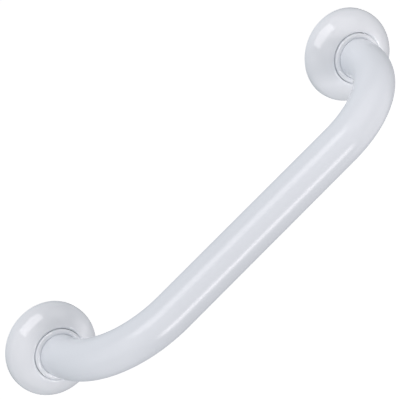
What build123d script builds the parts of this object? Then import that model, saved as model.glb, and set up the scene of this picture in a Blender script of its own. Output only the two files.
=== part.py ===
from build123d import *
import os
from math import sqrt

# A wall-mounted grab bar: one bent tube, welded at both ends to a round wall plate. A domed cover snaps over
# each plate, and a rounded collar closes the gap between the cover's hole and the tube.
#
# Frame: X runs along the bar, the wall is the plane Y = 0, the bar stands off towards -Y, and Z is up. The
# origin is on the wall, half-way between the plates. Each flange piece is drawn about its own Z axis, with
# Z = 0 on the wall, and is then turned and moved to its end of the bar. All sizes are in millimetres.

# Tube
tube_diameter = 35.0
tube_wall = 1.5
centre_distance = 355.0
bend_radius = 81.0
leg_above_cover = 1.1
weld_leg = 3.0

# Cover
cover_diameter = 80.0
cover_height = 20.4
cover_wall = 2.0
cover_lip = 3.0
cover_wall_gap = 0.3
cover_rim_round = 10.2
cover_flank_radius = 30.6
cover_edge_round = 1.6
hub_wall = 2.0
hub_depth = 5.0
rib_count = 6
rib_first_angle = 30.0
rib_thickness = 2.0
rib_leg = 1.85
rib_reach = 5.0
rim_clearance = 0.15

# Collar
collar_width = 3.85
collar_inner_rise = 1.5
collar_outer_rise = 0.7
collar_crown = 0.8
collar_clearance = 0.15
collar_gap = 0.3
shoulder_overlap = 1.1
shoulder_clearance = 0.3
weld_clearance = 0.4

# Wall plate
plate_thickness = 4.0
plate_back_bevel = 1.0
plate_front_bevel = 0.5
vent_diameter = 10.0
screw_count = 3
screw_hole_diameter = 5.5
screw_sink_diameter = 10.5
screw_sink_angle = 90.0

# Radii, from the tube outwards and from the cover's rim inwards
tube_radius = tube_diameter / 2
weld_radius = tube_radius + weld_leg
collar_inner_radius = tube_radius + collar_clearance
collar_outer_radius = collar_inner_radius + collar_width
hole_radius = collar_outer_radius + collar_gap
shoulder_radius = hole_radius + shoulder_overlap
hub_radius = hole_radius + hub_wall
crown_radius = hole_radius + cover_edge_round
cover_radius = cover_diameter / 2
plate_radius = cover_radius - cover_wall - rib_leg - rim_clearance
screw_circle_radius = (shoulder_radius + plate_radius) / 2

# Heights off the wall
weld_top = plate_thickness + weld_leg
hub_bottom = cover_height - hub_depth
shoulder_top = hub_bottom - shoulder_clearance
bend_start = cover_height + leg_above_cover
stand_off = bend_start + bend_radius

SIDES = {"left": -1, "right": 1}


def at_end(piece, side):
    """Turns a flange piece to face off the wall and moves it to one end, the left end mirroring the right."""
    half_turn = 0 if side > 0 else 180
    return Pos(side * centre_distance / 2, 0, 0) * Rot(90, 0, 0) * Rot(0, 0, half_turn) * piece


def turned(face):
    """A solid of revolution about Z from a face drawn in radius and height."""
    return revolve(Plane.XZ * face, Axis.Z)


def radial_block(inner, outer, bottom, top):
    """A rectangle in radius and height."""
    return Pos((inner + outer) / 2, (bottom + top) / 2) * Rectangle(outer - inner, top - bottom)


def grab_tube():
    """The tube: a ring carried along leg, bend, grip, bend and leg, with a weld round each foot."""
    end_x = centre_distance / 2
    left_foot = (-end_x, -plate_thickness)
    right_foot = (end_x, -plate_thickness)
    left_corner = (-end_x, -stand_off)
    right_corner = (end_x, -stand_off)
    path = FilletPolyline(left_foot, left_corner, right_corner, right_foot, radius=bend_radius)
    ring = Circle(tube_radius) - Circle(tube_radius - tube_wall)
    tube = sweep(Plane(origin=path @ 0, z_dir=path % 0) * ring, path)
    for side in SIDES.values():
        tube += at_end(weld_bead(), side)
    return tube


def weld_bead():
    """The weld round the tube's foot: a triangular ring whose inner side bites into the tube's wall."""
    bite_radius = tube_radius - tube_wall / 2
    outline = Polyline(
        (bite_radius, plate_thickness),
        (weld_radius, plate_thickness),
        (tube_radius, weld_top),
        (bite_radius, weld_top),
        close=True,
    )
    return turned(make_face(outline))


def mounting_plate():
    """The wall plate: a bevelled disc with a vent hole and countersunk screw holes, the first at angle 0."""
    outline = Polyline(
        (vent_diameter / 2, 0),
        (plate_radius - plate_back_bevel, 0),
        (plate_radius, plate_back_bevel),
        (plate_radius, plate_thickness - plate_front_bevel),
        (plate_radius - plate_front_bevel, plate_thickness),
        (vent_diameter / 2, plate_thickness),
        close=True,
    )
    hole = CounterSinkHole(
        screw_hole_diameter / 2,
        screw_sink_diameter / 2,
        depth=plate_thickness,
        counter_sink_angle=screw_sink_angle,
    )
    places = Pos(0, 0, plate_thickness) * PolarLocations(screw_circle_radius, screw_count)
    return turned(make_face(outline)) - places * hole


def dome_region(inset):
    """The half section under the dome's surface, moved inwards by the inset.

    A straight lip stands on the wall side. From it a rim arc, a wide flank arc and a small edge arc, each
    tangent to the next, lead up the dome, over its crown and down into the hole.
    """
    rim_end = (cover_radius - inset, cover_lip)
    edge_end = (hole_radius, cover_height - inset - cover_edge_round)
    rim_circle = CenterArc((cover_radius - cover_rim_round, cover_lip), cover_rim_round - inset, 0, 90)
    edge_circle = CenterArc((crown_radius, edge_end[1]), cover_edge_round, 0, 180)
    flank = ConstrainedArcs(
        (rim_circle, Tangency.ENCLOSING),
        (edge_circle, Tangency.ENCLOSING),
        radius=cover_flank_radius - inset,
    ).edge()
    rim = TangentArc(flank @ 0, rim_end, tangent=-(flank % 0))
    edge = TangentArc(flank @ 1, edge_end, tangent=flank % 1)
    sides = Polyline(edge_end, (hole_radius, cover_wall_gap), (rim_end[0], cover_wall_gap), rim_end)
    return make_face([rim, flank, edge, sides])


def cover_rib():
    """One snap rib at angle 0: it stands on the plate, fits round its rim and hooks behind its back bevel."""
    inner = plate_radius - rib_reach
    leg = plate_radius + rim_clearance
    hook_top = plate_back_bevel - rim_clearance * (sqrt(2) - 1)
    outline = Polyline(
        (inner, plate_thickness),
        (leg, plate_thickness),
        (leg, hook_top),
        (leg - hook_top + cover_wall_gap, cover_wall_gap),
        (cover_radius, cover_wall_gap),
        (cover_radius, cover_height),
        (inner, cover_height),
        close=True,
    )
    profile = make_face(outline) & dome_region(cover_wall / 2)
    return extrude(Plane.XZ * profile, rib_thickness / 2, both=True)


def cover():
    """The cover: a thin dome with a rounded hole, a hub behind the hole's edge and a ring of snap ribs."""
    hub = radial_block(hole_radius, hub_radius, hub_bottom, cover_height)
    shell = turned(dome_region(0) - (dome_region(cover_wall) - hub))
    return shell + PolarLocations(0, rib_count, start_angle=rib_first_angle) * cover_rib()


def collar():
    """The collar: a sleeve round the tube's foot with a domed top and a shoulder under the cover's hub."""
    inner_edge = (collar_inner_radius, cover_height + collar_inner_rise)
    outer_edge = (collar_outer_radius, cover_height + collar_outer_rise)
    crown = SagittaArc(inner_edge, outer_edge, collar_crown)
    walls = Polyline(
        outer_edge,
        (collar_outer_radius, plate_thickness),
        (collar_inner_radius, plate_thickness),
        inner_edge,
    )
    neck = make_face([crown, walls])
    shoulder = radial_block(collar_inner_radius, shoulder_radius, plate_thickness, shoulder_top)
    weld_recess = radial_block(
        collar_inner_radius, weld_radius + weld_clearance, plate_thickness, weld_top + weld_clearance
    )
    return turned(neck + shoulder - weld_recess)


os.makedirs("parts", exist_ok=True)
export_step(grab_tube(), "parts/grab_tube.step")
for side_name, side in SIDES.items():
    export_step(at_end(mounting_plate(), side), f"parts/{side_name}_mounting_plate.step")
    export_step(at_end(cover(), side), f"parts/{side_name}_cover.step")
    export_step(at_end(collar(), side), f"parts/{side_name}_collar.step")
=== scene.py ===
from math import copysign, cos, pi, radians, sin

import bpy
import numpy as np
from bpy.props import FloatProperty, FloatVectorProperty, PointerProperty
from mathutils import Matrix, Vector


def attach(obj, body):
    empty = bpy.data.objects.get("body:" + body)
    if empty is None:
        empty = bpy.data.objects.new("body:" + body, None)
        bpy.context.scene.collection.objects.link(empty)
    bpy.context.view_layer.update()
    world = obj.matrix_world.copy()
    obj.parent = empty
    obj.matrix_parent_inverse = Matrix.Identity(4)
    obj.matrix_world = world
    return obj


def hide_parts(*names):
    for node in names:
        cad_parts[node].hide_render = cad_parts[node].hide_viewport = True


bl_info = {
    "name": "Grab Bar Looks",
    "version": (1, 0, 0),
    "blender": (4, 5, 0),
    "location": "3D View > Sidebar > Grab Bar",
    "description": "Dresses a packed grab bar with a smooth tube, its finishes and a white studio",
    "category": "Object",
}

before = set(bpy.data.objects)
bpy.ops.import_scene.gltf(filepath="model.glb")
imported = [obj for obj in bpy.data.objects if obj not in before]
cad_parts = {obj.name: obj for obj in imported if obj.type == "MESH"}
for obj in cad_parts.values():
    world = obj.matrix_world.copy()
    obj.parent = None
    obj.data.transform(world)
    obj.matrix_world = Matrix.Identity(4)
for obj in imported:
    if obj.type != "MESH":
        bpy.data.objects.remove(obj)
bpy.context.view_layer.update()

SIDES = ("left", "right")
ORIGIN = (0.0, 0.0, 0.0)
UPWARD = Vector((0, 0, 1))
WHITE = (1.0, 1.0, 1.0)

# Distance between the two legs in metres, which the tube and the plates share
CENTRE_DISTANCE = 0.355

# Steps of the tube's mesh along half the grip, a bend, a leg and a weld, and points round each ring
GRIP_STEPS = 30
BEND_STEPS = 60
LEG_STEPS = 8
WELD_STEPS = 4
RING_POINTS = 128
# Angle between two faces from which their edge is sharp
SHARP_ANGLE = radians(30)

# Waves per metre and octaves of the noise in each finish
COATING_CLOUD = (35.0, 2.0)
COATING_RIPPLE = (420.0, 1.0)
STEEL_GRAIN = (1900.0, 2.0)
PLASTIC_FLOW = (60.0, 3.0)
TURNED_RINGS = (1500.0, 3.0)
ZINC_CLOUD = (90.0, 4.0)
FLOOR_CLOUD = (2.0, 2.0)

# Strength of each relief, and its depth in metres
RIPPLE_RELIEF = (0.2, 0.00002)
RING_RELIEF = (0.3, 0.00003)

# Darkest and lightest share of its colour that a cloudy finish takes
GLOSS_SHADES = (0.985, 1.015)
ZINC_SHADES = (0.85, 1.12)
FLOOR_SHADES = (0.87, 0.89)
# Darkest and lightest colour of the bare steel
STEEL_DARK = (0.30, 0.30, 0.31)
STEEL_LIGHT = (0.42, 0.42, 0.43)

# Share by which a glossy finish's roughness drifts to either side
GLOSS_DRIFT = 0.15
STEEL_ROUGHNESS = 0.5
FLOOR_ROUGHNESS = 0.8
# Least roughness of the plating, and what its clouds and its rings add at most
ZINC_ROUGHNESS = 0.28
ZINC_CLOUD_ROUGHNESS = 0.12
ZINC_RING_ROUGHNESS = 0.08

# Refraction of the coating and of the plastic
COATING_REFRACTION = 1.53
PLASTIC_REFRACTION = 1.6
# Share of the light that spreads inside the plastic, and how far it does in metres
PLASTIC_SCATTER = 0.3
PLASTIC_DEPTH = 0.0015

# Place, aim, width and height, turn about the view line, and radiance of each large soft box
SOFT_BOXES = {
    "top_box": ((-0.036, -0.527, 1.199), ORIGIN, (1.25, 0.623), 0.088, 2.65),
    "front_box": ((0.02, -1.914, -0.712), ORIGIN, (1.361, 0.55), -0.088, 6.15),
}
# Aim of the two small panels beside each leg, and the radiance of the high and the low one
PANELS = {
    "left": ((-0.18, -0.045, 0.0), 0.376, 0.370),
    "right": ((0.13, -0.07, 0.0), 0.552, 0.664),
}
# Side of a panel, and how far outwards, forwards, and up or down of its aim it stands
PANEL_SIDE = 0.3
PANEL_OUT = 0.167
PANEL_FORWARD = 0.111
PANEL_RISE = 0.195

# Direction of the studio's backdrop, behind the bar as the camera sees it
BACKDROP = (0.18, 0.86, -0.48)
# Powers of the cosine to that direction that shape the backdrop and the rim round it
BACKDROP_POWER = 10.0
RIM_POWER = 3.0

# Half the floor's side, the strength of its painted glow, and the depths between which that painted light
# turns from dim to full
FLOOR_REACH = 20.0
GLOW_STRENGTH = 0.67
FADE_START = -1.0
FADE_END = 0.6

# Width of the camera's sensor in millimetres
SENSOR_WIDTH = 36.0


class TubeSettings(bpy.types.PropertyGroup):
    """Sizes and finish of the bent tube."""

    radius: FloatProperty(
        name="Radius", description="Outer radius of the tube",
        default=0.0175, unit="LENGTH",
    )
    wall: FloatProperty(
        name="Wall", description="Thickness of the tube's wall",
        default=0.0015, unit="LENGTH",
    )
    centre_distance: FloatProperty(
        name="Centre distance", description="Distance between the two legs",
        default=CENTRE_DISTANCE, unit="LENGTH",
    )
    bend_radius: FloatProperty(
        name="Bend radius", description="Radius of the bends, at the tube's centre line",
        default=0.081, unit="LENGTH",
    )
    stand_off: FloatProperty(
        name="Stand-off", description="Distance from the wall to the grip's centre line",
        default=0.1025, unit="LENGTH",
    )
    foot: FloatProperty(
        name="Foot", description="Height off the wall of the tube's ends",
        default=0.004, unit="LENGTH",
    )
    weld: FloatProperty(
        name="Weld", description="Leg of the weld round each foot",
        default=0.003, unit="LENGTH",
    )
    coating: FloatVectorProperty(
        name="Coating", description="Colour of the coating",
        default=(0.88, 0.91, 0.945), subtype="COLOR",
    )
    coating_roughness: FloatProperty(
        name="Coating roughness", description="Roughness of the coating",
        default=0.23, subtype="FACTOR",
    )


class CoverSettings(bpy.types.PropertyGroup):
    """Finish of the moulded covers and collars."""

    plastic: FloatVectorProperty(
        name="Plastic", description="Colour of the moulded plastic",
        default=(0.92, 0.95, 0.985), subtype="COLOR",
    )
    cover_roughness: FloatProperty(
        name="Cover roughness", description="Roughness of the covers",
        default=0.02, subtype="FACTOR",
    )
    collar_roughness: FloatProperty(
        name="Collar roughness", description="Roughness of the collars",
        default=0.05, subtype="FACTOR",
    )


class PlateSettings(bpy.types.PropertyGroup):
    """Finish of the zinc-plated wall plates."""

    zinc: FloatVectorProperty(
        name="Zinc", description="Colour of the zinc plating",
        default=(0.60, 0.62, 0.64), subtype="COLOR",
    )
    centre_offset: FloatProperty(
        name="Centre offset", description="Distance of each plate's axis from the middle",
        default=CENTRE_DISTANCE / 2, unit="LENGTH",
    )


class StageSettings(bpy.types.PropertyGroup):
    """Floor, light and camera."""

    floor_height: FloatProperty(
        name="Floor height", description="Height of the floor, which lies below the bar",
        default=-0.8, unit="LENGTH",
    )
    # The floor's glow is painted light: a pool of painted light behind the bar that dims in front of it
    floor_glow: FloatVectorProperty(
        name="Floor glow", description="Colour of the floor's glow behind the bar",
        default=(1.0, 0.97, 0.94), subtype="COLOR",
    )
    front_dim: FloatProperty(
        name="Front dim", description="Share of its glow that the studio loses in front of the bar",
        default=0.3, subtype="FACTOR",
    )
    box_tint: FloatVectorProperty(
        name="Box tint", description="Colour of the soft boxes and panels",
        default=(1.0, 0.961, 0.976), subtype="COLOR",
    )
    surround_tint: FloatVectorProperty(
        name="Surround tint", description="Colour of the studio all round",
        default=(0.899, 0.945, 1.0), subtype="COLOR",
    )
    surround: FloatProperty(
        name="Surround", description="Mean radiance of the studio all round, apart from its backdrop",
        default=0.431,
    )
    surround_left: FloatProperty(
        name="Surround to the left", description="Share by which the studio is brighter on the left",
        default=0.2,
    )
    surround_back: FloatProperty(
        name="Surround to the back", description="Share by which the studio is brighter at the back",
        default=0.515,
    )
    backdrop: FloatProperty(
        name="Backdrop", description="Share by which the backdrop behind the bar is brighter",
        default=1.74,
    )
    backdrop_rim: FloatProperty(
        name="Backdrop rim", description="Share by which the studio is darker round the backdrop",
        default=1.318,
    )
    azimuth: FloatProperty(
        name="Azimuth", description="Camera's turn round the bar",
        default=radians(-11.5948), subtype="ANGLE",
    )
    elevation: FloatProperty(
        name="Elevation", description="Camera's angle above the bar",
        default=radians(28.4415), subtype="ANGLE",
    )
    roll: FloatProperty(
        name="Roll", description="Camera's turn about its own view line",
        default=radians(-39.188), subtype="ANGLE",
    )
    distance: FloatProperty(
        name="Distance", description="Distance from the camera to its target",
        default=2.25175, unit="LENGTH",
    )
    target: FloatVectorProperty(
        name="Target", description="Point that the camera looks at",
        default=(-0.0067173, -0.03, 0.0152689), subtype="TRANSLATION",
    )
    lens: FloatProperty(
        name="Lens", description="Focal length of the camera, in millimetres",
        default=245.44,
    )


class Socket:
    """An output socket of a node tree. Operators between sockets and numbers add Math nodes."""

    def __init__(self, tree, output=None):
        self.tree = tree
        self.output = output

    def node(self, kind, settings, inputs, result=None):
        """Adds a node, sets it first, then fills or links its inputs, and gives one of its outputs."""
        added = self.tree.nodes.new(kind)
        for name, value in settings.items():
            setattr(added, name, value)
        for name, value in inputs.items():
            if isinstance(value, Socket):
                self.tree.links.new(value.output, added.inputs[name])
            else:
                added.inputs[name].default_value = value
        return None if result is None else Socket(self.tree, added.outputs[result])

    def maths(self, operation, first, second):
        """One Math node on two sockets or numbers."""
        return self.node("ShaderNodeMath", {"operation": operation}, {0: first, 1: second}, 0)

    def blend(self, factor, first, second):
        """A colour between two colours."""
        inputs = {0: factor, 6: first, 7: second}
        return self.node("ShaderNodeMix", {"data_type": "RGBA"}, inputs, 2)

    def parts(self):
        """The X, Y and Z of a vector."""
        first = self.node("ShaderNodeSeparateXYZ", {}, {"Vector": self}, "X")
        return [Socket(self.tree, output) for output in first.output.node.outputs]

    def __abs__(self):
        return self.node("ShaderNodeMath", {"operation": "ABSOLUTE"}, {0: self}, 0)

    def __add__(self, other):
        return self.maths("ADD", self, other)

    def __sub__(self, other):
        return self.maths("SUBTRACT", self, other)

    def __rsub__(self, other):
        return self.maths("SUBTRACT", other, self)

    def __mul__(self, other):
        return self.maths("MULTIPLY", self, other)

    def __pow__(self, other):
        return self.maths("POWER", self, other)

    __radd__ = __add__
    __rmul__ = __mul__


def new_material(name):
    """An empty node material, and the socket that its nodes are added from."""
    material = bpy.data.materials.new(name)
    material.use_nodes = True
    material.node_tree.nodes.clear()
    return material, Socket(material.node_tree)


def noise(root, place, grain):
    """Smooth noise between 0 and 1, of a grain in waves per metre and octaves."""
    waves, octaves = grain
    inputs = {"Vector": place, "Scale": waves, "Detail": octaves}
    return root.node("ShaderNodeTexNoise", {}, inputs, "Fac")


def bump(root, height, relief):
    """A normal that follows a height between 0 and 1, for a relief's strength and depth."""
    strength, depth = relief
    inputs = {"Strength": strength, "Distance": depth, "Height": height}
    return root.node("ShaderNodeBump", {}, inputs, "Normal")


def shade(colour, factor=1.0):
    """A colour made lighter or darker by a factor, with full opacity."""
    return (*(factor * part for part in colour), 1.0)


def cloudy(root, cloud, colour, shades):
    """A colour that drifts with a cloudiness between a darker and a lighter share of itself."""
    darkest, lightest = shades
    return root.blend(cloud, shade(colour, darkest), shade(colour, lightest))


def drifting(roughness, cloud):
    """A glossy finish's roughness, which drifts with a cloudiness."""
    return roughness * (1 - GLOSS_DRIFT + 2 * GLOSS_DRIFT * cloud)


def surface_output(root, inputs):
    """A Principled surface joined to the material's output."""
    surface = root.node("ShaderNodeBsdfPrincipled", {}, inputs, "BSDF")
    root.node("ShaderNodeOutputMaterial", {}, {"Surface": surface})


def tube_coating(settings):
    """Glossy white coating, faintly cloudy and rippled as sprayed enamel is, and bare steel in the bore."""
    material, root = new_material("tube_coating")
    place = root.node("ShaderNodeTexCoord", {}, {}, "Object")
    cloud = noise(root, place, COATING_CLOUD)
    ripple = noise(root, place, COATING_RIPPLE)
    grain = noise(root, place, STEEL_GRAIN)
    bore = root.node("ShaderNodeAttribute", {"attribute_name": "bore"}, {}, "Fac")
    white = cloudy(root, cloud, settings.coating, GLOSS_SHADES)
    steel = root.blend(grain, shade(STEEL_DARK), shade(STEEL_LIGHT))
    coated = drifting(settings.coating_roughness, cloud)
    surface_output(root, {
        "Base Color": root.blend(bore, white, steel),
        "Roughness": coated + bore * (STEEL_ROUGHNESS - coated),
        "Metallic": bore,
        "IOR": COATING_REFRACTION,
        "Normal": bump(root, ripple, RIPPLE_RELIEF),
    })
    return material


def moulded_plastic(name, colour, roughness):
    """Glossy white plastic: a little translucent, and faintly cloudy in its colour and its polish."""
    material, root = new_material(name)
    place = root.node("ShaderNodeTexCoord", {}, {}, "Object")
    flow = noise(root, place, PLASTIC_FLOW)
    surface_output(root, {
        "Base Color": cloudy(root, flow, colour, GLOSS_SHADES),
        "Roughness": drifting(roughness, flow),
        "IOR": PLASTIC_REFRACTION,
        "Subsurface Weight": PLASTIC_SCATTER,
        "Subsurface Radius": WHITE,
        "Subsurface Scale": PLASTIC_DEPTH,
    })
    return material


def zinc_plating(settings):
    """Zinc-plated steel: fine turned rings round each plate's axis under a cloudy bluish plating."""
    material, root = new_material("zinc_plating")
    place = root.node("ShaderNodeTexCoord", {}, {}, "Object")
    along, _, height = place.parts()
    off_axis = abs(along) - settings.centre_offset
    radius = (off_axis ** 2.0 + height ** 2.0) ** 0.5
    ring_place = root.node("ShaderNodeCombineXYZ", {}, {"X": radius}, 0)
    rings = noise(root, ring_place, TURNED_RINGS)
    cloud = noise(root, place, ZINC_CLOUD)
    surface_output(root, {
        "Base Color": cloudy(root, cloud, settings.zinc, ZINC_SHADES),
        "Roughness": ZINC_ROUGHNESS + ZINC_CLOUD_ROUGHNESS * cloud + ZINC_RING_ROUGHNESS * rings,
        "Metallic": 1.0,
        "Normal": bump(root, rings, RING_RELIEF),
    })
    return material


def behind_share(root, depth, unit):
    """A share that rises smoothly from 0 in front of the bar to 1 behind it.

    The depth is measured in a unit of so many metres.
    """
    inputs = {"Value": depth, "From Min": FADE_START / unit, "From Max": FADE_END / unit}
    return root.node("ShaderNodeMapRange", {"interpolation_type": "SMOOTHSTEP"}, inputs, "Result")


def floor_white(settings):
    """Pale floor: a faintly cloudy sheet with a painted glow, a pool of painted light that is white behind
    the bar and dimmer in front of it.
    """
    material, root = new_material("floor_white")
    place = root.node("ShaderNodeTexCoord", {}, {}, "Object")
    cloud = noise(root, place, FLOOR_CLOUD)
    _, depth, _ = place.parts()
    behind = behind_share(root, depth, 1.0)
    # Painted light: the floor glows fully behind the bar and less in front, as a pool of light falling on
    # it
    dim_glow = shade(settings.floor_glow, 1 - settings.front_dim)
    surface_output(root, {
        "Base Color": cloudy(root, cloud, WHITE, FLOOR_SHADES),
        "Roughness": FLOOR_ROUGHNESS,
        "Emission Color": root.blend(behind, dim_glow, shade(settings.floor_glow)),
        "Emission Strength": GLOW_STRENGTH,
    })
    material.cycles.emission_sampling = "NONE"
    return material


def grid_mesh(name, points, attributes):
    """A smooth mesh of a grid of points that closes on itself both ways, with values per point."""
    rows, columns, _ = points.shape
    index = np.arange(rows * columns).reshape(rows, columns)
    below = np.roll(index, -1, axis=0)
    corners = np.stack([index, np.roll(index, -1, axis=1), np.roll(below, -1, axis=1), below], axis=-1)
    mesh = bpy.data.meshes.new(name)
    mesh.from_pydata(points.reshape(-1, 3), [], corners.reshape(-1, 4))
    for attribute_name, values in attributes.items():
        attribute = mesh.attributes.new(attribute_name, "FLOAT", "POINT")
        attribute.data.foreach_set("value", values.ravel().astype(np.float32))
    mesh.shade_smooth()
    mesh.set_sharp_from_angle(angle=SHARP_ANGLE)
    return mesh


def add_piece(name, mesh, material):
    """An object of a mesh and a material, linked to the scene."""
    mesh.materials.append(material)
    piece = bpy.data.objects.new(name, mesh)
    bpy.context.scene.collection.objects.link(piece)
    return piece


def dress(node_name, material):
    """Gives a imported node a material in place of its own."""
    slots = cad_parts[node_name].data.materials
    slots.clear()
    slots.append(material)


def tube_surface(settings):
    """The bent tube with its foot welds and its bore, as one closed grid of rings.

    A ring is carried along the centre line, out on the skin and back in the bore. At the distance s from
    the middle of the grip the line has turned by a = (|s| - half the straight grip) / bend radius, held
    between nothing and a quarter turn. It has gone along the bar by the straight grip and by
    bend radius * sin a, and towards the wall by bend radius * (1 - cos a) and by what is left of s after
    the bend. The ring's radius is the tube's. Next to each foot the skin's ring grows by as much as the
    height above the foot falls short of the weld.
    """
    half_grip = settings.centre_distance / 2 - settings.bend_radius
    bend_length = settings.bend_radius * pi / 2
    leg = settings.stand_off - settings.bend_radius - settings.foot
    half_length = half_grip + bend_length + leg
    half_steps = np.concatenate([
        np.linspace(0, half_grip, GRIP_STEPS, endpoint=False),
        half_grip + np.linspace(0, bend_length, BEND_STEPS, endpoint=False),
        half_grip + bend_length + np.linspace(0, leg - settings.weld, LEG_STEPS, endpoint=False),
        half_length - settings.weld + np.linspace(0, settings.weld, WELD_STEPS),
    ])
    steps = np.concatenate([-half_steps[:0:-1], half_steps])
    way = np.concatenate([steps, steps[::-1]])
    is_bore = np.arange(len(way)) >= len(steps)
    past_grip = np.abs(way) - half_grip
    turn = np.clip(past_grip / settings.bend_radius, 0, pi / 2)
    centre_x = np.sign(way) * (np.minimum(np.abs(way), half_grip) + settings.bend_radius * np.sin(turn))
    drop = settings.bend_radius * (1 - np.cos(turn)) + np.maximum(past_grip - bend_length, 0)
    centre_y = drop - settings.stand_off
    flare = np.maximum(settings.weld - (half_length - np.abs(way)), 0)
    ring_radius = np.where(is_bore, settings.radius - settings.wall, settings.radius + flare)
    around = np.linspace(0, 2 * pi, RING_POINTS, endpoint=False)
    outward = np.cos(around)[None, :] * ring_radius[:, None]
    points = np.stack([
        centre_x[:, None] + outward * (np.sign(way) * np.sin(turn))[:, None],
        centre_y[:, None] - outward * np.cos(turn)[:, None],
        np.sin(around)[None, :] * ring_radius[:, None],
    ], axis=-1)
    bore = np.broadcast_to(is_bore[:, None], points.shape[:2])
    return points, bore


def facing_axes(away, turn):
    """Axes of a light or camera that looks against a direction and is turned about its view line."""
    back = away.normalized()
    side = (-back).cross(UPWARD).normalized()
    rise = side.cross(-back)
    width = cos(turn) * side + sin(turn) * rise
    return width, back.cross(width), back


def placed(place, axes):
    """A matrix that puts an object's own axes along three given axes at a place."""
    matrix = Matrix(axes).transposed().to_4x4()
    matrix.translation = place
    return matrix


def studio_floor(settings):
    """A square floor that only the camera sees, so it adds nothing to the bar's light and reflections."""
    square = FLOOR_REACH * np.array([(-1, -1), (1, -1), (1, 1), (-1, 1)])
    corners = np.column_stack([square, np.full(len(square), settings.floor_height)])
    mesh = bpy.data.meshes.new("floor")
    mesh.from_pydata(corners, [], [(0, 1, 2, 3)])
    floor = add_piece("floor", mesh, floor_white(settings))
    floor.visible_diffuse = False
    floor.visible_glossy = False
    floor.visible_shadow = False


def soft_box(name, place, aim, size, turn, radiance, tint):
    """A rectangular soft box that faces the point it is aimed at and doesn't show in the picture."""
    width, height = size
    light = bpy.data.lights.new(name, "AREA")
    light.shape = "RECTANGLE"
    light.size = width
    light.size_y = height
    light.energy = radiance * pi * width * height
    light.color = tint
    box = bpy.data.objects.new(name, light)
    box.matrix_world = placed(Vector(place), facing_axes(Vector(place) - Vector(aim), turn))
    box.visible_camera = False
    bpy.context.scene.collection.objects.link(box)


def leg_panels(tint):
    """A high and a low square panel beside each leg, outwards and forwards of the point that both face."""
    for side, (aim, high_radiance, low_radiance) in PANELS.items():
        out = copysign(PANEL_OUT, aim[0])
        levels = {"high": (PANEL_RISE, high_radiance), "low": (-PANEL_RISE, low_radiance)}
        for level, (rise, radiance) in levels.items():
            place = Vector(aim) + Vector((out, -PANEL_FORWARD, rise))
            soft_box(f"{side}_{level}_panel", place, aim, (PANEL_SIDE, PANEL_SIDE), 0.0, radiance, tint)


def surround(settings):
    """The studio all round, which lights the bar, and the plain white that the camera sees in its place.

    The studio is brighter to the left and at the back. A high power of the cosine to the backdrop's
    direction adds the backdrop, and a low power of it takes light away round the backdrop. The white is
    dimmer in front of the bar, as the floor's glow is.
    """
    world = bpy.data.worlds.new("studio_surround")
    world.use_nodes = True
    world.node_tree.nodes.clear()
    root = Socket(world.node_tree)
    direction = root.node("ShaderNodeTexCoord", {}, {}, "Generated")
    right, depth, height = direction.parts()
    toward = root.maths("MAXIMUM", BACKDROP[0] * right + BACKDROP[1] * depth + BACKDROP[2] * height, 0.0)
    share = 1.0 - settings.surround_left * right + settings.surround_back * depth
    share = share + settings.backdrop * toward ** BACKDROP_POWER
    share = share - settings.backdrop_rim * toward ** RIM_POWER
    soft_inputs = {"Color": shade(settings.surround_tint), "Strength": settings.surround * share}
    soft = root.node("ShaderNodeBackground", {}, soft_inputs, 0)
    in_front = 1.0 - behind_share(root, depth, FLOOR_REACH)
    whiteness = 1.0 - GLOW_STRENGTH * settings.front_dim * in_front
    white = root.node("ShaderNodeBackground", {}, {"Color": shade(WHITE), "Strength": whiteness}, 0)
    seen = root.node("ShaderNodeLightPath", {}, {}, "Is Camera Ray")
    mixed = root.node("ShaderNodeMixShader", {}, {0: seen, 1: soft, 2: white}, 0)
    root.node("ShaderNodeOutputWorld", {}, {"Surface": mixed})
    bpy.context.scene.world = world


def studio_camera(settings):
    """The camera, turned round the bar, raised, moved back from its target and rolled."""
    azimuth, elevation = settings.azimuth, settings.elevation
    away = Vector((sin(azimuth) * cos(elevation), -cos(azimuth) * cos(elevation), sin(elevation)))
    place = Vector(settings.target) + settings.distance * away
    data = bpy.data.cameras.new("studio_camera")
    data.sensor_width = SENSOR_WIDTH
    data.lens = settings.lens
    camera = bpy.data.objects.new("studio_camera", data)
    camera.matrix_world = placed(place, facing_axes(away, settings.roll))
    bpy.context.scene.collection.objects.link(camera)
    bpy.context.scene.camera = camera


class GRABBAR_OT_tube(bpy.types.Operator):
    """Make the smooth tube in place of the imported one"""

    bl_idname = "grabbar.tube"
    bl_label = "Make Tube"

    def execute(self, context):
        settings = context.scene.grabbar_tube
        points, bore = tube_surface(settings)
        mesh = grid_mesh("coated_tube", points, {"bore": bore})
        piece = add_piece("coated_tube", mesh, tube_coating(settings))
        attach(piece, "root")
        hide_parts("grab_tube")
        return {"FINISHED"}


class GRABBAR_OT_covers(bpy.types.Operator):
    """Give the two domed covers their moulded finish"""

    bl_idname = "grabbar.covers"
    bl_label = "Dress Covers"

    def execute(self, context):
        settings = context.scene.grabbar_cover
        material = moulded_plastic("cover_plastic_gloss", settings.plastic, settings.cover_roughness)
        for side in SIDES:
            dress(f"{side}_cover", material)
        return {"FINISHED"}


class GRABBAR_OT_collars(bpy.types.Operator):
    """Give the two collars their moulded finish"""

    bl_idname = "grabbar.collars"
    bl_label = "Dress Collars"

    def execute(self, context):
        settings = context.scene.grabbar_cover
        material = moulded_plastic("collar_plastic_gloss", settings.plastic, settings.collar_roughness)
        for side in SIDES:
            dress(f"{side}_collar", material)
        return {"FINISHED"}


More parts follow.
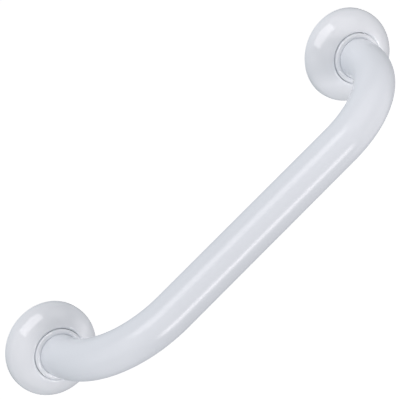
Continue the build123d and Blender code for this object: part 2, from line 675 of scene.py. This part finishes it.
class GRABBAR_OT_plates(bpy.types.Operator):
    """Give the two wall plates their zinc plating"""

    bl_idname = "grabbar.plates"
    bl_label = "Dress Plates"

    def execute(self, context):
        material = zinc_plating(context.scene.grabbar_plate)
        for side in SIDES:
            dress(f"{side}_mounting_plate", material)
        return {"FINISHED"}


class GRABBAR_OT_stage(bpy.types.Operator):
    """Set the floor, the soft boxes, the surround and the camera"""

    bl_idname = "grabbar.stage"
    bl_label = "Set Stage"

    def execute(self, context):
        settings = context.scene.grabbar_stage
        studio_floor(settings)
        for name, (place, aim, size, turn, radiance) in SOFT_BOXES.items():
            soft_box(name, place, aim, size, turn, radiance, settings.box_tint)
        leg_panels(settings.box_tint)
        surround(settings)
        studio_camera(settings)
        context.scene.view_settings.view_transform = "Standard"
        return {"FINISHED"}


class GRABBAR_PT_panel(bpy.types.Panel):
    """Lists the steps that dress the grab bar"""

    bl_idname = "GRABBAR_PT_panel"
    bl_label = "Grab Bar"
    bl_space_type = "VIEW_3D"
    bl_region_type = "UI"
    bl_category = "Grab Bar"

    def draw(self, context):
        for step in STEPS:
            self.layout.operator(step.bl_idname)


SETTINGS = {
    "grabbar_tube": TubeSettings,
    "grabbar_cover": CoverSettings,
    "grabbar_plate": PlateSettings,
    "grabbar_stage": StageSettings,
}
STEPS = (GRABBAR_OT_tube, GRABBAR_OT_covers, GRABBAR_OT_collars, GRABBAR_OT_plates, GRABBAR_OT_stage)


def register():
    """Adds the settings to the scene, and the operators and the panel to Blender."""
    for settings in SETTINGS.values():
        bpy.utils.register_class(settings)
    for name, settings in SETTINGS.items():
        setattr(bpy.types.Scene, name, PointerProperty(type=settings))
    for step in (*STEPS, GRABBAR_PT_panel):
        bpy.utils.register_class(step)


def unregister():
    """Takes away what register added, in the opposite order."""
    for step in (GRABBAR_PT_panel, *reversed(STEPS)):
        bpy.utils.unregister_class(step)
    for name in SETTINGS:
        delattr(bpy.types.Scene, name)
    for settings in reversed(SETTINGS.values()):
        bpy.utils.unregister_class(settings)


def main():
    """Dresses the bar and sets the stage."""
    register()
    bpy.ops.grabbar.tube()
    bpy.ops.grabbar.covers()
    bpy.ops.grabbar.collars()
    bpy.ops.grabbar.plates()
    bpy.ops.grabbar.stage()


if __name__ == "__main__":
    main()
